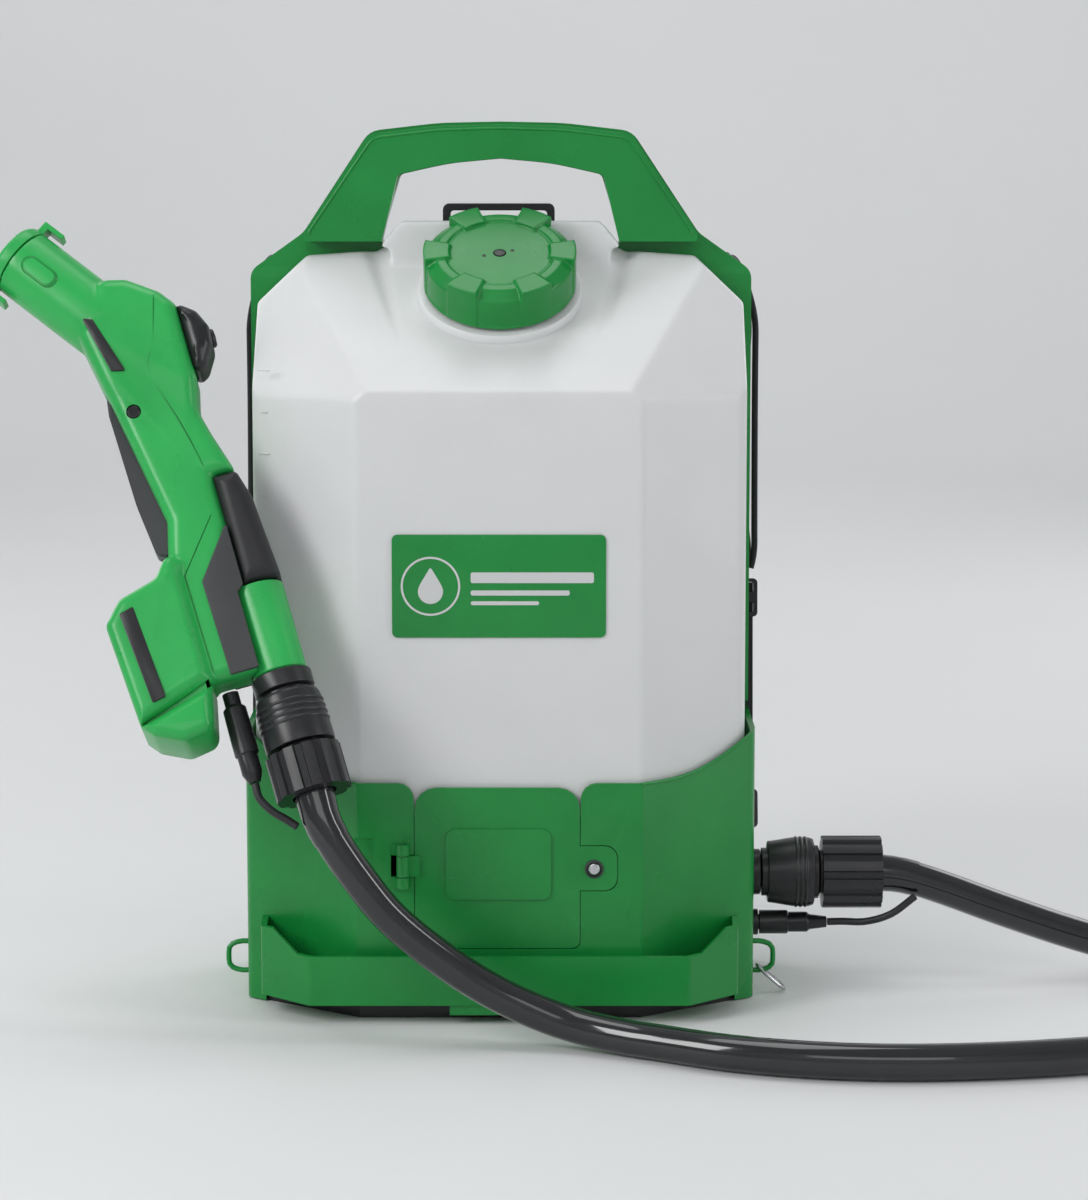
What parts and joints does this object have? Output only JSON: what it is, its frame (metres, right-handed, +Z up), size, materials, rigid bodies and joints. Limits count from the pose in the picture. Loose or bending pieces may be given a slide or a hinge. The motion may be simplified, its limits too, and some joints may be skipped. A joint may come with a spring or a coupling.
{
  "type": "electrostatic disinfectant sprayer",
  "caption": "Backpack electrostatic disinfectant sprayer: faceted tank on a carrying frame and pump base, slanted filler cap, and a pistol spray gun on a black hose.",
  "frame": {"origin": "centre of the base's underside, on the ground", "axes": "+Z up, +Y towards the wearer's back, +X to the outlet's side, which is the right in the picture"},
  "size_m": [0.8542, 0.3832, 0.56],
  "materials": {
    "tank_plastic": "translucent off-white, moulded",
    "green_plastic": "satin moulded green",
    "gun_green_plastic": "satin moulded lighter green",
    "black_plastic": "fine moulded texture",
    "grey_plastic": "fine moulded texture",
    "black_rubber": "matt",
    "clear_tubing": "milky clear",
    "hose_skin": "glossy black vinyl",
    "black_fabric": "woven over foam",
    "steel": "plain",
    "brass": "plain"
  },
  "bodies": {
    "root": {"tank": "tank_plastic", "base_shell": "green_plastic", "base_bottom_plate": "black_plastic", "front_bumper": "green_plastic", "carry_frame": "green_plastic", "top_bracket": "black_plastic", "back_pad": "black_fabric", "shoulder_strap_left": "black_fabric", "shoulder_strap_right": "black_fabric", "strap_webbing_left": "black_fabric", "strap_webbing_right": "black_fabric", "strap_loop_left": "green_plastic", "strap_loop_right": "green_plastic", "door_hinge_pin": "steel", "pump_bracket": "steel", "pump_motor": "steel", "pump_head": "black_plastic", "tank_outlet_fitting": "black_plastic", "outlet_filter": "clear_tubing", "suction_tube": "clear_tubing", "discharge_tube": "clear_tubing", "outlet_spigot": "black_plastic", "spigot_nut": "black_plastic", "pack_coupler_body": "black_plastic", "pack_socket": "black_plastic", "pack_plug": "black_plastic", "pack_pigtail": "black_rubber", "hose": "hose_skin", "gun_shell_left": "gun_green_plastic", "gun_shell_right": "gun_green_plastic", "trigger_pin": "steel", "trigger_spring": "steel", "trigger_switch": "black_plastic", "rear_cap": "black_plastic", "grip_panel": "black_rubber", "handle_rear_cover": "gun_green_plastic", "electrode_ring": "brass", "high_voltage_module": "grey_plastic", "liquid_tube": "clear_tubing", "gun_coupler_body": "black_plastic", "gun_plug": "black_plastic", "gun_pigtail": "black_rubber"},
    "cap_seal": {"cap_gasket": "black_rubber"},
    "cap": {"filler_cap": "green_plastic", "cap_vent": "black_plastic"},
    "door": {"service_door": "green_plastic"},
    "lock_screw": {"door_screw": "steel"},
    "pump_shaft": {"motor_shaft": "steel"},
    "outlet_collar": {"pack_coupler_collar": "black_plastic"},
    "outlet_nut": {"pack_hose_nut": "black_plastic"},
    "hook": {"snap_hook": "steel"},
    "trigger_lever": {"trigger": "grey_plastic"},
    "lock_button": {"trigger_lock": "black_plastic"},
    "switch_button": {"power_button": "black_plastic"},
    "retainer": {"nozzle_retainer": "gun_green_plastic"},
    "turret": {"nozzle_turret": "black_plastic"},
    "battery": {"battery_pack": "gun_green_plastic"},
    "latch": {"battery_latch": "black_plastic"},
    "spout_collar": {"gun_coupler_collar": "black_plastic"},
    "spout_nut": {"gun_hose_nut": "black_plastic"}
  },
  "joints": [
    {"name": "cap_lift", "type": "slide", "parent": "root", "child": "cap_seal", "axis": [0, -0.5519, 0.8339], "range_m": [0, 0.0201]},
    {"name": "cap_turn", "type": "hinge", "parent": "cap_seal", "child": "cap", "pos_m": [0, -0.034, 0.4782], "axis": [0, -0.5519, 0.8339], "range_deg": [0, 1080]},
    {"name": "door_swing", "type": "hinge", "parent": "root", "child": "door", "pos_m": [-0.0605, -0.1062, 0.0985], "axis": [0, 0, -1], "range_deg": [0, 40]},
    {"name": "door_screw_turn", "type": "hinge", "parent": "door", "child": "lock_screw", "pos_m": [0.0594, -0.1045, 0.0965], "axis": [0, -1, 0], "range_deg": [0, 90]},
    {"name": "shaft_spin", "type": "hinge", "parent": "root", "child": "pump_shaft", "pos_m": [0.02, 0, 0.05], "axis": [1, 0, 0], "continuous": true},
    {"name": "outlet_collar_pull", "type": "slide", "parent": "root", "child": "outlet_collar", "axis": [-1, 0, 0], "range_m": [0, 0.004], "stiffness_N_per_m": 800, "springref_m": -0.002},
    {"name": "outlet_nut_turn", "type": "hinge", "parent": "root", "child": "outlet_nut", "pos_m": [0.23, -0.01, 0.074], "axis": [1, 0, 0], "range_deg": [0, 360]},
    {"name": "hook_swing", "type": "hinge", "parent": "root", "child": "hook", "pos_m": [0.169, -0.035, 0.0145], "axis": [1, 0, 0], "range_deg": [-40, 40]},
    {"name": "trigger_pull", "type": "hinge", "parent": "root", "child": "trigger_lever", "pos_m": [-0.23596, -0.05567, 0.3837], "axis": [0, -0.9063, 0.4226], "range_deg": [0, 10], "stiffness_Nm_per_rad": 1.2, "springref_deg": -20.05},
    {"name": "trigger_lock_press", "type": "slide", "parent": "root", "child": "lock_button", "axis": [0, 0.9063, -0.4226], "range_m": [0, 0.002], "stiffness_N_per_m": 400, "springref_m": -0.001},
    {"name": "power_button_press", "type": "slide", "parent": "root", "child": "switch_button", "axis": [-0.9588, -0.12, -0.2574], "range_m": [0, 0.002], "stiffness_N_per_m": 600, "springref_m": -0.001},
    {"name": "retainer_turn", "type": "hinge", "parent": "root", "child": "retainer", "pos_m": [-0.29118, -0.01949, 0.4613], "axis": [-0.7826, 0.2631, 0.5642], "range_deg": [0, 30]},
    {"name": "turret_turn", "type": "hinge", "parent": "root", "child": "turret", "pos_m": [-0.29118, -0.01949, 0.4613], "axis": [-0.7826, 0.2631, 0.5642], "range_deg": [0, 240]},
    {"name": "battery_slide", "type": "slide", "parent": "root", "child": "battery", "axis": [0.284, -0.4052, -0.869], "range_m": [0, 0.075]},
    {"name": "battery_latch_press", "type": "slide", "parent": "battery", "child": "latch", "axis": [0, -0.9063, 0.4226], "range_m": [0, 0.002], "stiffness_N_per_m": 400, "springref_m": -0.001},
    {"name": "spout_collar_pull", "type": "slide", "parent": "root", "child": "spout_collar", "axis": [-0.284, 0.4052, 0.869], "range_m": [0, 0.002], "stiffness_N_per_m": 800, "springref_m": -0.002},
    {"name": "spout_nut_turn", "type": "hinge", "parent": "root", "child": "spout_nut", "pos_m": [-0.11649, -0.15513, 0.17041], "axis": [0.284, -0.4052, -0.869], "range_deg": [0, 360]}
  ],
  "couplings": [
    {"joint": "cap_lift", "follows": "cap_turn", "m_per_rad": 0.001061}
  ]
}
